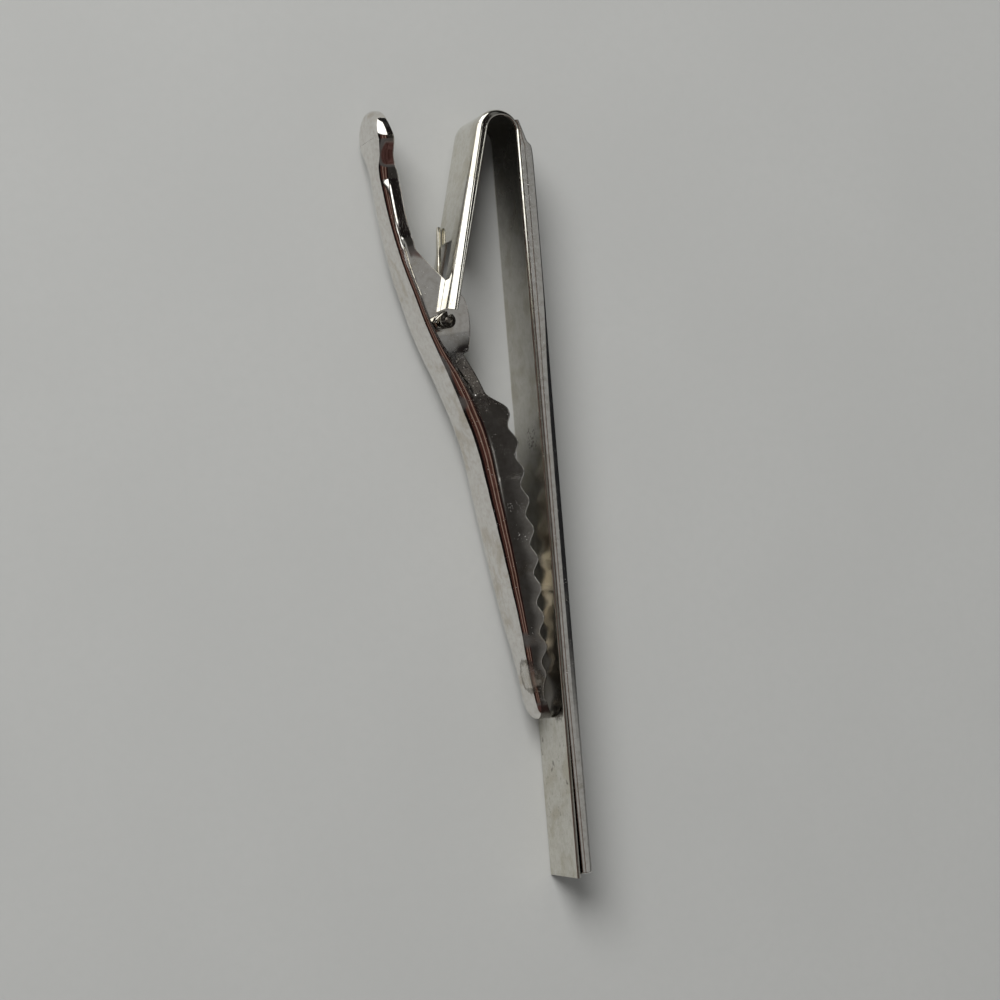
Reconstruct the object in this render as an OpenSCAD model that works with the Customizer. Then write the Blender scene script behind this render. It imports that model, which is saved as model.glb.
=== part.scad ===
// Tie clip with a sprung toothed lever.
// The clip lies on its long edge: X runs across it towards the front face, Y along the bar
// towards the bend, and Z is the width of the bar. The origin is under the middle of the box.

/* [Front bar] */
// Length of the front bar
bar_len = 61.65; // [45:0.05:80]
// Width of the front bar and of the strip behind it
bar_w = 6; // [5:0.1:9]
// Height of the front bar above the strip
bar_h = 1.05; // [0.8:0.05:2]
// Sheet thickness of the front bar
shell_t = 0.25; // [0.15:0.01:0.35]
// Radius of the front bar's long edges
bar_edge_r = 0.4; // [0.3:0.05:0.6]
// Length of the slope that ends the front bar at the bend
bar_slope = 2.1; // [1.5:0.1:3]
// Length of the front bar that lies past the start of the bend
bar_lap = 0.95; // [0.2:0.05:1]
// Distance that the strip reaches past the front bar's free end
bar_setback = 0.3; // [0:0.05:1]
// Gap that opens between the strip and the front bar at their free ends
end_gap = 0.2; // [0.02:0.01:0.4]
// Length over which that gap opens
end_gap_run = 15; // [5:1:30]

/* [Strip] */
// Sheet thickness of the strip
strip_t = 0.3; // [0.2:0.02:0.4]
// Outer radius of the bend
bend_r = 1.85; // [1.4:0.05:3]
// Angle that the short arm splays away from the bar
arm_angle = 14.5; // [10:0.5:18]
// Length of the short arm, from the bend to the hinge pin
arm_len = 16.2; // [12:0.1:22]
// Depth of the arm's side walls
arm_wall_d = 0.92; // [0.6:0.02:1.3]
// Place round the bend where these side walls have faded out, as an angle from the bar's side
fade_angle = 24; // [15:1:40]
// Distance from the end of the arm's side walls to the hinge pin
arm_wall_end = 0.95; // [0.85:0.05:2]
// Length of the slot above the hinge pin
slot_len = 6.9; // [6.6:0.1:9]

/* [Hinge] */
// Diameter of the hinge pin
pin_d = 0.6; // [0.4:0.02:0.7]
// Outer diameter of the rolled knuckles
knuckle_d = 1.4; // [1.2:0.05:1.7]
// Depth of the pin's axis below the arm's outer face
pin_inset = 0.25; // [0.1:0.05:0.35]
// Radial play of the lever on the pin
pin_play = 0.03; // [0.01:0.01:0.06]
// Width of the slit where a knuckle's roll ends
roll_slit = 0.12; // [0.05:0.01:0.2]
// Angle of that slit from the straight line across the clip
slit_angle = 35; // [15:1:60]

/* [Lever] */
// Distance from the hinge pin to the tip of the jaw
jaw_len = 32.75; // [26:0.25:38]
// Distance from the hinge pin to the end of the thumb pad
thumb_len = 17.6; // [14:0.1:20]
// Full width of the thumb pad
lever_w = 5.8; // [5.2:0.1:6]
// Sheet thickness of the lever
lever_t = 0.3; // [0.2:0.02:0.4]
// Radius of the bend along both sides of the lever
lever_r = 0.6; // [0.45:0.05:0.8]
// Distance from the hinge pin to the outside of the lever's back
back_root = 1.8; // [1.7:0.05:2.4]
// Distance that the thumb pad stands further out than the back does at the hinge
thumb_throw = 2.95; // [2:0.05:4]
// Depth of the lever's closed tip
tip_depth = 1.6; // [1.4:0.05:2.2]
// Gap between the closed tip and the strip
tip_gap = 0.05; // [0.02:0.01:0.2]
// Depth of the side walls beside the tip
tip_wall_h = 0.95; // [0.8:0.05:1.2]
// Depth of the side walls at the first tooth
jaw_wall_h = 3.84; // [3:0.02:4.2]
// Depth of the side walls between the teeth and the ears
waist_h = 2.45; // [2.2:0.05:2.9]
// Depth of the side walls at the pin's end of the neck
root_h = 1.55; // [1.1:0.05:1.8]
// Depth of the side walls along the neck
neck_h = 1.65; // [1.1:0.05:1.9]
// Depth of the side walls in the corner between the neck and the thumb pad
corner_h = 1.35; // [1.1:0.05:1.6]
// Depth of the side walls beside the thumb pad
thumb_h = 1.4; // [1.1:0.05:1.9]
// Depth of the wall round the end of the thumb pad
pad_end_h = 0.95; // [0.85:0.05:1.4]

/* [Teeth] */
// Number of scallops on each side wall
tooth_count = 9; // [6:1:11]
// Length of one scallop
tooth_pitch = 2.4; // [1.8:0.05:2.5]
// Depth of the scallops
tooth_d = 0.5; // [0.2:0.05:0.7]
// Distance from the hinge pin to the first crest
first_tooth = 7.7; // [7.2:0.1:9]
// Length of the slope between the first crest and the plain wall
shoulder_run = 1.5; // [0.8:0.1:2]

/* [Ears] */
// Width over the two ears
ear_w = 2.4; // [2.3:0.05:2.6]
// Gap between each ear and the arm beside it
ear_gap = 0.06; // [0.03:0.01:0.1]
// Distance from the pin to the front edge of the ears
ear_front = 2.5; // [2:0.05:2.8]
// Radius of the front edge of the ears
ear_edge_r = 6.5; // [5:0.1:9]
// Distance from the pin down to the lower end of the ears
ear_low = 2.6; // [2:0.05:3]
// Distance from the pin to the slanted upper edge of the ears
ear_top = 2.95; // [2.6:0.05:3.2]
// Gap between the knuckles and the step where the walls come in to the ears
step_gap = 0.15; // [0.12:0.01:0.25]

/* [Spring] */
// Diameter of the spring's wire
wire_d = 0.38; // [0.3:0.01:0.38]
// Radius of the coil, at the middle of the wire
coil_r = 0.55; // [0.54:0.01:0.6]
// Rise of the coil in one turn
coil_pitch = 0.8; // [0.8:0.01:0.84]
// Distance from the hinge pin to the place where the fixed leg comes out of the slot
leg_rise = 5.3; // [4.8:0.1:5.8]
// Length of the fixed leg beyond that place
leg_tail = 3.5; // [2:0.1:4]
// Angle that this end of the leg bends aside, to bear on the arm beside the slot
tail_angle = 27; // [15:1:28]
// Distance from the hinge pin to the place where the other leg bears on the lever
free_rise = 6.4; // [4.5:0.1:7]
// Gap between the wire and what it bears on
wire_gap = 0.03; // [0.01:0.01:0.05]

/* [Hidden] */
$fn = 48;
over = 1;

// Places that follow from the sizes above, from the strip's inner face and its free end
strip_end = 0;
bar_start = strip_end + bar_setback;
bend_y = bar_start + bar_len - bar_lap;
bend_c = [strip_t - bend_r, bend_y];
arm_dir = [-sin(arm_angle), -cos(arm_angle)];
arm_in = [cos(arm_angle), -sin(arm_angle)];
arm_start = bend_c - arm_in * bend_r;
pin_c = arm_start + arm_dir * arm_len + arm_in * pin_inset;
mid_z = bar_w / 2;

// The end profile as shares of the bar's height and of its slope, from the full height outwards
bar_end_shares = [[1, 2.1], [0.97, 1.3], [0.87, 1], [0.55, 0.8], [0.43, 0.62], [0, 0]];
bar_y_reach = bend_y + bend_r + over;
// The groove's place up the side wall, and its depth, as shares of the wall's height and thickness
groove_place_share = 0.25;
groove_share = 0.4;
groove_place = bar_h * groove_place_share;
groove_side = shell_t * groove_share;

// The lever's lengthways places, measured from the hinge pin
tip_y = pin_c.y - jaw_len;
thumb_y = pin_c.y + thumb_len;
tip_run = tip_depth;
pad_run_share = 0.9;
pad_run = lever_w / 2 * pad_run_share;
first_y = pin_c.y - first_tooth;
last_y = first_y - tooth_count * tooth_pitch;
ear_half = ear_w / 2;
ear_step_h = back_root - knuckle_d / 2 - step_gap;
slot_w = ear_w + 2 * ear_gap;
lever_half = lever_w / 2;

// The lever's back, as shares of the way from the tip to the pin, then from the pin to the thumb end
jaw_back_shares = [[0, 0], [0.18, 0.128], [0.37, 0.279], [0.55, 0.418], [0.69, 0.534], [0.81, 0.704],
                   [0.92, 0.876]];
neck_back_shares = [[0, 0], [0.115, 0.197], [0.25, 0.43], [0.4, 0.63], [0.55, 0.782], [0.72, 0.913],
                    [0.88, 0.99], [1, 1]];
// The lever's half width, as a share of the thumb pad's: at shares of the way from the tip to the pin,
// then of the way from the pin to the widest place of the pad
jaw_width_shares = [[0, 0.56], [0.11, 0.57], [0.17, 0.67], [0.25, 0.82], [0.34, 0.917], [0.43, 0.966],
                    [0.55, 0.966], [0.69, 0.93], [0.82, 0.862], [0.95, 0.793]];
neck_width_shares = [[0.152, 0.731], [0.35, 0.66], [0.55, 0.56], [0.72, 0.535], [0.82, 0.51], [0.857, 0.5],
                     [0.885, 0.6], [0.918, 0.76], [0.956, 0.89], [0.98, 0.95], [1, 0.99], [1.04, 1]];
// The depth of the side walls over the crests, as shares of the way to the pin and of the rise from the tip
jaw_wall_shares = [[0, 0], [0.07, 0], [0.125, 0.26], [0.26, 0.45], [0.4, 0.655], [0.55, 0.815],
                   [0.69, 0.93], [0.77, 1]];

// How the long run of the lever is divided
tooth_step_count = 8;
tip_step_count = 4;
near_tip_step_count = 3;
shoulder_step_count = 7;
upper_step_count = 42;
pad_step_count = 6;
tip_half = jaw_width_shares[0][1] * lever_half;
shoulder_end = shoulder_run + tooth_d / 2;

// The creases that bound the ears run aslant: each has a place at the depth of the step, and a slope
crease_share = 0.4;
crease_run = ear_w * crease_share;
upper_crease_share = 1.27;
upper_crease = pin_c.y + ear_top * upper_crease_share;
upper_slope = 1.1;
lower_crease = pin_c.y - ear_low / 2;
lower_slope = 1.5;

mid_x = (strip_t + bar_h - (back_root + thumb_throw - pin_c.x)) / 2;
mid_y = max(thumb_y, bend_y + bend_r) / 2;

function smooth(t) = let (c = min(max(t, 0), 1)) c * c * (3 - 2 * c);
function mix(a, b, t) = a + (b - a) * t;
function flat(table) = [for (part = table) each part];

// A smooth curve through the rows of a table, at the place s
function curve(table, s) =
    let (n = len(table),
         k = max([for (i = [0 : n - 2]) table[i][0] <= s ? i : 0]),
         a = table[max(k - 1, 0)],
         b = table[k],
         c = table[k + 1],
         d = table[min(k + 2, n - 1)],
         run = c[0] - b[0],
         t = min(max((s - b[0]) / run, 0), 1),
         m = (c[1] - a[1]) / (c[0] - a[0]) * run,
         e = (d[1] - b[1]) / (d[0] - b[0]) * run)
    (2 * t * t * t - 3 * t * t + 1) * b[1] + (t * t * t - 2 * t * t + t) * m
    + (3 * t * t - 2 * t * t * t) * c[1] + (t * t * t - t * t) * e;

// The lever's curves in real sizes, from the jaw's tip to the thumb's end
back_curve = flat([
    [for (row = jaw_back_shares) [mix(tip_y, pin_c.y, row[0]), mix(-tip_depth, pin_c.x - back_root, row[1])]],
    [for (row = neck_back_shares)
        [mix(pin_c.y, thumb_y, row[0]), pin_c.x - back_root - thumb_throw * row[1]]]]);
width_curve = flat([
    [for (row = jaw_width_shares) [mix(tip_y, pin_c.y, row[0]), row[1] * lever_half]],
    [for (row = neck_width_shares) [mix(pin_c.y, thumb_y - pad_run, row[0]), row[1] * lever_half]]]);
crest_curve = [for (row = jaw_wall_shares)
    [mix(tip_y, pin_c.y, row[0]), mix(tip_wall_h, jaw_wall_h, row[1])]];
// The depth of the plain side walls, at shares of the ways from the first crest to the pin and on to
// the thumb's end
waist_share = 0.6;
upper_shares = [[0.4, root_h], [0.68, neck_h], [0.775, corner_h], [0.845, thumb_h],
                [0.92, (thumb_h + pad_end_h) / 2], [1, pad_end_h]];
upper_curve = flat([[[first_y, waist_h], [mix(first_y, pin_c.y, waist_share), waist_h]],
    [for (row = upper_shares) [mix(pin_c.y, thumb_y, row[0]), row[1]]]]);

function back_x(y) = curve(back_curve, y);
function half_w(y) = curve(width_curve, y);

// The ears: a flat arc in front of the pin, cut by a slanted line above it
function ear_arc_x(y) = pin_c.x + ear_front - ear_edge_r + sqrt(max(ear_edge_r ^ 2 - (y - pin_c.y) ^ 2, 0));
function ear_slant_x(y) = pin_c.x + ear_top * sqrt(2) - (y - pin_c.y);
function ear_h(y) = (y > pin_c.y - ear_low) ? min(ear_arc_x(y), ear_slant_x(y)) - back_x(y) : 0;

// How far the walls have stepped in to the ears at y and at a depth, from 0 to 1
function ear_zone(y, deeper) = smooth((y - lower_crease + deeper * lower_slope) / crease_run + 0.5)
    * smooth((upper_crease + deeper * upper_slope - y) / crease_run + 0.5);
function lean(y, h) = (half_w(y) - ear_half) * ear_zone(y, max(h - ear_step_h, 0));

function scallop(y) =
    (y > last_y && y < first_y) ? tooth_d / 2 * (1 - cos(360 * (first_y - y) / tooth_pitch)) : 0;
function lower_wall(y) = curve(crest_curve, y) - scallop(y);
function upper_wall(y) = max(curve(upper_curve, y), ear_h(y));
function wall_h(y) = mix(lower_wall(y), upper_wall(y), smooth((y - first_y - tooth_d / 2) / shoulder_run));
function tip_wall(y, w) = mix(tip_depth - tip_gap, tip_wall_h, (w / tip_half) ^ 2);
function rim_h(y, w) = y < tip_y + tip_run ? tip_wall(y, w) : wall_h(y);
function step_h(y, w) = min(ear_step_h, mix(lever_r, rim_h(y, w), 1 / 3));
function mid_h(y, w) = mix(step_h(y, w), rim_h(y, w), 1 / 2);

// The lever's outline seen from its back, as [place, half width], first one side and then the other
pad_half = half_w(thumb_y - pad_run);
side_plan = flat([
    [for (i = [0 : tip_step_count - 1]) let (a = 90 * i / tip_step_count)
        [tip_y + tip_run * (1 - cos(a)), half_w(tip_y) * sin(a)]],
    [for (i = [0 : near_tip_step_count - 1]) let (y = mix(tip_y + tip_run, last_y, i / near_tip_step_count))
        [y, half_w(y)]],
    [for (i = [0 : tooth_count * tooth_step_count - 1]) let (y = last_y + i * tooth_pitch / tooth_step_count)
        [y, half_w(y)]],
    [for (i = [0 : shoulder_step_count - 1]) let (y = first_y + i * shoulder_end / shoulder_step_count)
        [y, half_w(y)]],
    [for (i = [0 : upper_step_count - 1])
        let (y = mix(first_y + shoulder_end, thumb_y - pad_run, i / upper_step_count)) [y, half_w(y)]],
    [for (i = [0 : pad_step_count]) let (a = 90 * i / pad_step_count)
        [thumb_y - pad_run + pad_run * sin(a), pad_half * cos(a)]]]);
side_n = len(side_plan) - 1;
plan = flat([side_plan, [for (i = [side_n - 1 : -1 : 1]) [side_plan[i][0], -side_plan[i][1]]]]);
plan_n = len(plan);

function plan_step(i) = plan[(i + 1) % plan_n] - plan[(i + plan_n - 1) % plan_n];
function inward(i) = let (d = plan_step(i)) [d[1], -d[0]] / norm(d);

// One ring of the trough: inset from the outline, at a depth, with or without the step to the ears
function ring(inset, depth, stepped) = [for (i = [0 : plan_n - 1])
    let (at = plan[i],
         p = at + inward(i) * inset,
         side = at[1] > 0 ? 1 : -1,
         h = depth == "rim" ? rim_h(at[0], at[1])
           : depth == "mid" ? mid_h(at[0], at[1])
           : depth == "step" ? step_h(at[0], at[1]) : depth)
    [back_x(p[0]) + h, p[0], mid_z + p[1] - (stepped ? side * lean(at[0], h) : 0)]];

fillet_in = lever_r - lever_t;
rings = [
    ring(0, "rim", true),
    ring(0, "mid", true),
    ring(0, "step", true),
    ring(0, lever_r, false),
    ring(lever_r * (1 - cos(30)), lever_r * (1 - sin(30)), false),
    ring(lever_r * (1 - cos(60)), lever_r * (1 - sin(60)), false),
    ring(lever_r, 0, false),
    ring(lever_r, lever_t, false),
    ring(lever_r - fillet_in * cos(45), lever_r - fillet_in * sin(45), false),
    ring(lever_t, lever_r, false),
    ring(lever_t, "step", true),
    ring(lever_t, "mid", true),
    ring(lever_t, "rim", true)];
ring_n = len(rings);
// Rings of the outer skin, of which the last bounds the flat of the back
outer_ring_count = 7;
outer_flat = outer_ring_count - 1;
inner_flat = outer_ring_count;

function id(r, i) = r * plan_n + (i + plan_n) % plan_n;
// The two flats of the back lie between rings, so no skin joins those two rings
skin_pairs = [for (r = [0 : ring_n - 1]) if (r != outer_flat) [r, (r + 1) % ring_n]];
skin_faces = [for (pair = skin_pairs) for (i = [0 : plan_n - 1]) for (k = [0, 1])
    k == 0 ? [id(pair[1], i + 1), id(pair[0], i + 1), id(pair[0], i)]
           : [id(pair[1], i), id(pair[1], i + 1), id(pair[0], i)]];
function flat_faces(r) = [for (i = [0 : side_n - 1]) for (k = [0, 1])
    k == 0 ? [id(r, -i - 1), id(r, i + 1), id(r, i)] : [id(r, -i), id(r, -i - 1), id(r, i)]];
function proper(f) = f[0] != f[1] && f[1] != f[2] && f[0] != f[2];
function turned(faces) = [for (f = faces) [f[2], f[1], f[0]]];
all_faces = flat([skin_faces, flat_faces(outer_flat), turned(flat_faces(inner_flat))]);
lever_faces = [for (f = all_faces) if (proper(f)) f];

// Wires, swept along a path with a ring of corners at each point
wire_side_count = 10;
coil_ring_angle = 15;
// Turns of the coil, less the part of a turn between its legs
coil_turn_count = 2;
bend_step_count = 4;
bend_run = wire_d;
wire_seat = wire_d / 2 + wire_gap;
spring_z = mid_z - ear_half + lever_t + wire_seat;

// The places that the legs reach, and the directions of the tangents from the coil to them
function leg_angle(reach, hand) =
    let (d = norm(reach)) atan2(reach.y, reach.x) + hand * atan2(coil_r, sqrt(d ^ 2 - coil_r ^ 2));
fixed_reach = -arm_dir * leg_rise - arm_in * (pin_inset + wire_seat);
free_y = pin_c.y + free_rise;
free_reach = [back_x(free_y) + lever_t + wire_seat, free_y] - pin_c;
coil_from = leg_angle(fixed_reach, 1) - 90;
coil_to = leg_angle(free_reach, -1) + 90 - 360 * coil_turn_count;
coil_rings = ceil((coil_from - coil_to) / coil_ring_angle);
coil_rise = coil_pitch * (coil_from - coil_to) / 360;
function on_coil(a) =
    [pin_c.x + coil_r * cos(a), pin_c.y + coil_r * sin(a), spring_z + coil_pitch * (coil_from - a) / 360];

fixed_bend = [pin_c.x + fixed_reach.x, pin_c.y + fixed_reach.y, spring_z];
tail_dir = [-arm_dir.x * cos(tail_angle), -arm_dir.y * cos(tail_angle), -sin(tail_angle)];
rise_dir = unit(fixed_bend - on_coil(coil_from));
bend_arc = [for (i = [0 : bend_step_count]) let (t = i / bend_step_count)
    fixed_bend + bend_run * (tail_dir * (1 - t) ^ 2 - rise_dir * t ^ 2)];
// The coil ends in a straight stub, and the leg that turns with the lever goes on from it
free_end = [pin_c.x + free_reach.x, pin_c.y + free_reach.y, spring_z + coil_rise];
stub_end = on_coil(coil_to) + unit(free_end - on_coil(coil_to)) * wire_d;
spring_path = flat([[fixed_bend + tail_dir * leg_tail], bend_arc,
    [for (i = [0 : coil_rings]) on_coil(mix(coil_from, coil_to, i / coil_rings))], [stub_end]]);
free_path = [stub_end, free_end];

// The least gap between neighbouring turns
turn_gap = coil_pitch - wire_d;
echo(turn_gap = turn_gap);

function unit(v) = v / norm(v);
function along(path, i) = unit(path[min(i + 1, len(path) - 1)] - path[max(i - 1, 0)]);
function wire_ring(path, i) =
    let (t = along(path, i),
         u = unit(cross([0, 0, 1], t)),
         v = cross(t, u))
    [for (k = [0 : wire_side_count - 1]) let (a = 360 * k / wire_side_count)
        path[i] + wire_d / 2 * (u * cos(a) + v * sin(a))];

module wire(path) {
    last = len(path) - 1;
    points = flat([for (i = [0 : last]) wire_ring(path, i)]);
    skin = [for (i = [0 : last - 1]) for (k = [0 : wire_side_count - 1]) for (half = [0, 1])
        let (a = i * wire_side_count + k,
             b = i * wire_side_count + (k + 1) % wire_side_count)
        half == 0 ? [a, a + wire_side_count, b + wire_side_count] : [a, b + wire_side_count, b]];
    first_cap = [for (k = [0 : wire_side_count - 1]) k];
    last_cap = [for (k = [wire_side_count - 1 : -1 : 0]) last * wire_side_count + k];
    polyhedron(points, flat([skin, [first_cap, last_cap]]));
}

// Moves the drawing, whose zero is the strip's inner face and free end, to the part's own origin
module placed() {
    translate([-mid_x, -mid_y, 0]) children();
}

// The front bar's cross-section, with X out of the front and Y across the width
module bar_section(inset) {
    r = bar_edge_r - inset;
    half = bar_w / 2 - inset;
    top = strip_t + bar_h - inset;
    translate([0, -half]) square([top - r, 2 * half]);
    translate([0, r - half]) square([top, 2 * (half - r)]);
    for (side = [-1, 1]) translate([top - r, side * (half - r)]) circle(r);
}

// The front bar seen from its side: it slopes down on to the bend and opens a little at the free end
module bar_side(inset) {
    rim = strip_t - inset;
    top = strip_t + bar_h - inset;
    low = bar_start + inset;
    high = bar_start + bar_len - inset;
    round_r = bar_edge_r / 2;
    difference() {
        polygon(flat([
            [[rim + end_gap, low], [top - round_r, low], [top, low + round_r]],
            [for (row = bar_end_shares) [mix(rim, top, row[0]), high - bar_slope * row[1]]],
            [[rim - strip_t, high], [rim, bend_y], [rim, low + end_gap_run]]]));
        translate(bend_c) circle(bend_r);
    }
}
module bar_solid(inset) {
    intersection() {
        linear_extrude(bar_w) bar_side(inset);
        translate([0, -over, mid_z]) rotate([-90, 0, 0]) linear_extrude(bar_y_reach) bar_section(inset);
    }
}
module front_bar() {
    color("silver") placed() difference() {
        bar_solid(0);
        bar_solid(shell_t);
        // The fine groove along both side walls
        for (z = [0, bar_w]) translate([strip_t + groove_place, bar_start - over, z]) rotate([0, 45, 0])
            translate([-groove_side / 2, 0, -groove_side / 2]) cube([groove_side, bar_y_reach, groove_side]);
    }
}
// A wedge of the bend's plane, from an angle round to the arm
module bend_wedge(from) {
    reach = bend_r * 2;
    to = 180 - arm_angle;
    polygon([bend_c, for (i = [0 : 4]) let (a = mix(from, to, i / 4)) bend_c + reach * [cos(a), sin(a)]]);
}

// A rectangle along the arm, from its outer face inwards
module arm_plan(from, to, depth) {
    translate(arm_start) rotate(-90 - arm_angle) translate([from, 0]) square([to - from, depth]);
}

module strip_side() {
    translate([0, strip_end]) square([strip_t, bend_y - strip_end]);
    intersection() {
        difference() {
            translate(bend_c) circle(bend_r);
            translate(bend_c) circle(bend_r - strip_t);
        }
        bend_wedge(0);
    }
    arm_plan(0, arm_len, strip_t);
}

// The side wall starts from nothing at the bar and deepens round the bend
module wall_side() {
    turn = 180 - arm_angle - fade_angle;
    shift = (arm_wall_d - strip_t) / (1 - cos(turn));
    intersection() {
        difference() {
            translate(bend_c) circle(bend_r);
            translate(bend_c + shift * [cos(fade_angle), sin(fade_angle)]) circle(bend_r - strip_t - shift);
        }
        bend_wedge(fade_angle);
    }
    arm_plan(0, arm_len - arm_wall_end, arm_wall_d);
}

module knuckle(low, high) {
    translate([pin_c.x, pin_c.y, low]) cylinder(d = knuckle_d, h = high - low);
}

module clip_strip() {
    tine = (bar_w - slot_w) / 2;
    color("lightgray") placed() difference() {
        union() {
            linear_extrude(bar_w) strip_side();
            for (z = [0, bar_w - strip_t]) translate([0, 0, z]) linear_extrude(strip_t) wall_side();
            knuckle(0, tine);
            knuckle(bar_w - tine, bar_w);
        }
        // The slot that lets the ears and the spring through
        translate([0, 0, tine]) linear_extrude(slot_w) translate(arm_start) rotate(-90 - arm_angle)
            translate([arm_len - slot_len, -knuckle_d]) square([slot_len + knuckle_d, 3 * knuckle_d]);
        translate([pin_c.x, pin_c.y, -over]) cylinder(d = pin_d, h = bar_w + 2 * over);
        // The slit that the rolled sheet leaves at its end
        for (z = [-over, bar_w - tine]) translate([pin_c.x, pin_c.y, z]) rotate(-slit_angle)
            translate([0, -roll_slit / 2, 0]) cube([knuckle_d, roll_slit, tine + over]);
    }
}

module pivot_pin() {
    dome = pin_d / 6;
    color("dimgray") placed() translate([pin_c.x, pin_c.y, 0]) {
        translate([0, 0, dome]) cylinder(d = pin_d, h = bar_w - 2 * dome);
        cylinder(d1 = pin_d - 2 * dome, d2 = pin_d, h = dome);
        translate([0, 0, bar_w - dome]) cylinder(d1 = pin_d, d2 = pin_d - 2 * dome, h = dome);
    }
}

module torsion_spring() {
    color("darkgray") placed() wire(spring_path);
}

module spring_free_leg() {
    color("darkgray") placed() wire(free_path);
}

module jaw_lever() {
    color("gainsboro") placed() difference() {
        polyhedron(flat(rings), lever_faces);
        // The pin's bore through both ears
        translate([pin_c.x, pin_c.y, mid_z - ear_half - over])
            cylinder(r = pin_d / 2 + pin_play, h = ear_w + 2 * over);
    }
}

front_bar();
clip_strip();
pivot_pin();
torsion_spring();
spring_free_leg();
jaw_lever();
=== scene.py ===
import math

import bmesh
import bpy
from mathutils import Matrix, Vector


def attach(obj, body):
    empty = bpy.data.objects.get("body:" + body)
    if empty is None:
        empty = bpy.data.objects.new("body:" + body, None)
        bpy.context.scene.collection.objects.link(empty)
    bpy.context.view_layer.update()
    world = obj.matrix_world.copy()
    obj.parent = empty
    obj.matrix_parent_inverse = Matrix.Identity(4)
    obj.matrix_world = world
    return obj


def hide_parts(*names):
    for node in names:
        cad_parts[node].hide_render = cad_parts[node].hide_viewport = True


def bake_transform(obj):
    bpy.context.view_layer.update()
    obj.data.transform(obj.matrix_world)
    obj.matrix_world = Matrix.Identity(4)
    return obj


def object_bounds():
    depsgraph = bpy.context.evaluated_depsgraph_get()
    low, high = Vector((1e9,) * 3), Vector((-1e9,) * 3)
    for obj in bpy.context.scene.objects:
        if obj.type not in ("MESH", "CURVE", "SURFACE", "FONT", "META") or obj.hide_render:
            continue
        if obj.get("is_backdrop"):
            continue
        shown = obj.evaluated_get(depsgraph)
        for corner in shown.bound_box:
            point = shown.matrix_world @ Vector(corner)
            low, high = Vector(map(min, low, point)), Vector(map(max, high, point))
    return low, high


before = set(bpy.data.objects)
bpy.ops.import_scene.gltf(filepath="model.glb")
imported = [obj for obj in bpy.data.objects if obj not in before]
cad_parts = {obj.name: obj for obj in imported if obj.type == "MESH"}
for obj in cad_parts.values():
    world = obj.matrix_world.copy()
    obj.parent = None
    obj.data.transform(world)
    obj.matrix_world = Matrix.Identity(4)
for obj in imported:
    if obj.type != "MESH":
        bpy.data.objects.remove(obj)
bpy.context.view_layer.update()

# Camera

SENSOR = 36.0
LENS = 97.2
CAMERA_AT = (-0.0755384, -0.0111563, 0.209702)
CAMERA_TURN = (4.48708, -20.36282, -4.98003)

camera_data = bpy.data.cameras.new("camera")
camera_data.sensor_width = SENSOR
camera_data.lens = LENS
camera_data.clip_start = 0.001
camera = bpy.data.objects.new("camera", camera_data)
camera.location = CAMERA_AT
camera.rotation_euler = [math.radians(a) for a in CAMERA_TURN]
bpy.context.scene.collection.objects.link(camera)
bpy.context.scene.camera = camera

# Sizes, in mm
# Drawn as the solids are: x from the strip's inner face, y from its free end, z across the width

MM = 0.001
BAR_W, BAR_LEN, BAR_H, SHELL_T = 6.0, 61.65, 1.05, 0.25
BAR_SETBACK, BAR_LAP, BAR_SLOPE = 0.3, 0.95, 2.1
END_GAP, END_GAP_RUN = 0.2, 15.0
STRIP_T, BEND_R, ARM_ANGLE, ARM_LEN = 0.3, 1.85, 14.5, 16.2
ARM_WALL_D, FADE_ANGLE, ARM_WALL_END, SLOT_LEN = 0.92, 24.0, 0.95, 6.9
PIN_D, KNUCKLE_D, PIN_INSET = 0.6, 1.4, 0.25
JAW_LEN, THUMB_LEN, LEVER_W, LEVER_T = 32.75, 17.6, 5.8, 0.3
BACK_ROOT, THUMB_THROW, TIP_DEPTH, TIP_GAP = 1.8, 2.95, 1.6, 0.05
TIP_WALL_H, JAW_WALL_H, WAIST_H, ROOT_H = 0.95, 3.84, 2.45, 1.55
NECK_H, CORNER_H, THUMB_H, PAD_END_H = 1.65, 1.35, 1.4, 0.95
TOOTH_COUNT, TOOTH_PITCH, TOOTH_D, FIRST_TOOTH = 9, 2.4, 0.5, 7.7
SHOULDER_RUN = 1.5
EAR_W, EAR_GAP, EAR_FRONT, EAR_EDGE_R = 2.4, 0.06, 2.5, 6.5
EAR_LOW, EAR_TOP, STEP_GAP = 2.6, 2.95, 0.15
WIRE_D, COIL_R, COIL_PITCH, COIL_TURNS = 0.38, 0.55, 0.8, 2
LEG_RISE, LEG_TAIL, TAIL_ANGLE, FREE_RISE, WIRE_GAP = 5.3, 3.5, 27.0, 6.4, 0.03

MID_Z = BAR_W / 2
BAR_START = BAR_SETBACK
BEND_Y = BAR_START + BAR_LEN - BAR_LAP
BEND_C = (STRIP_T - BEND_R, BEND_Y)
TILT = math.radians(ARM_ANGLE)
ARM_DIR = (-math.sin(TILT), -math.cos(TILT))
ARM_IN = (math.cos(TILT), -math.sin(TILT))
ARM_START = (BEND_C[0] - ARM_IN[0] * BEND_R, BEND_C[1] - ARM_IN[1] * BEND_R)
PIN = tuple(ARM_START[k] + ARM_DIR[k] * ARM_LEN + ARM_IN[k] * PIN_INSET for k in (0, 1))
TIP_Y, THUMB_Y = PIN[1] - JAW_LEN, PIN[1] + THUMB_LEN
FIRST_Y = PIN[1] - FIRST_TOOTH
LAST_Y = FIRST_Y - TOOTH_COUNT * TOOTH_PITCH
EAR_HALF = EAR_W / 2
EAR_STEP_H = BACK_ROOT - KNUCKLE_D / 2 - STEP_GAP
SLOT_W = EAR_W + 2 * EAR_GAP
LEVER_HALF = LEVER_W / 2
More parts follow.
